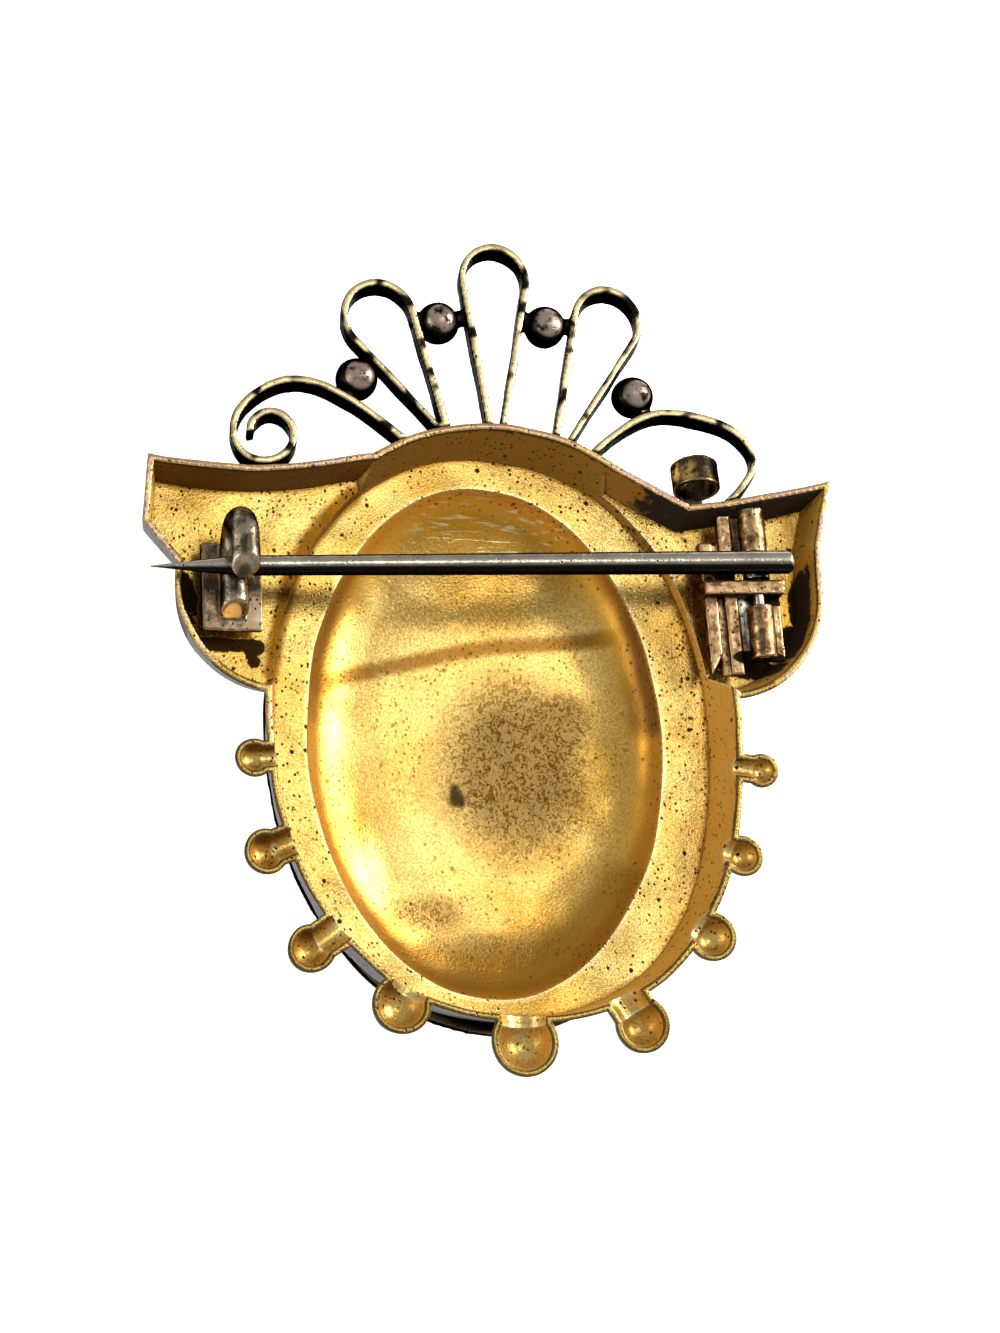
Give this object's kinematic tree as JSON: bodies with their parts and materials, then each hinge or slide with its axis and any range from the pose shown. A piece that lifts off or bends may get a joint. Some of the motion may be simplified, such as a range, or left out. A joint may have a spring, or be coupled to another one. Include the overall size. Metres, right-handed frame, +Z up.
{
  "type": "cameo brooch",
  "caption": "Stamped oval brooch shell with wings, edge lobes and a ribbon crest, an oval carved cameo in a bezel on its front, and a hinged pin with a C-shaped catch on its open back.",
  "frame": {"origin": "centre of the whole brooch on the surface that its front lies on", "axes": "+X towards the hinge, +Y towards the crest, +Z up out of the open back, away from the cameo"},
  "size_m": [0.0452, 0.0536, 0.0131],
  "materials": {
    "gilt_brass": "worn gilt",
    "dark_brass": "tarnished",
    "pale_brass": "rubbed, with black patina in the hollows",
    "nickel_silver": "drawn wire",
    "carved_shell": "polished helmet shell"
  },
  "bodies": {
    "brooch": {"shell": "gilt_brass", "bezel": "dark_brass", "cameo": "carved_shell", "crest_fan": "pale_brass", "left_scroll": "pale_brass", "right_scroll": "pale_brass", "bail": "dark_brass", "hinge": "gilt_brass", "hinge_rivet": "nickel_silver", "catch": "dark_brass"},
    "pin": {"pin": "nickel_silver"}
  },
  "joints": [
    {"name": "pin_hinge", "type": "hinge", "parent": "brooch", "child": "pin", "pos_m": [0.01717, 0.00611, 0.00925], "axis": [-0.0541, 0.9985, 0], "range_deg": [0, 98]}
  ]
}
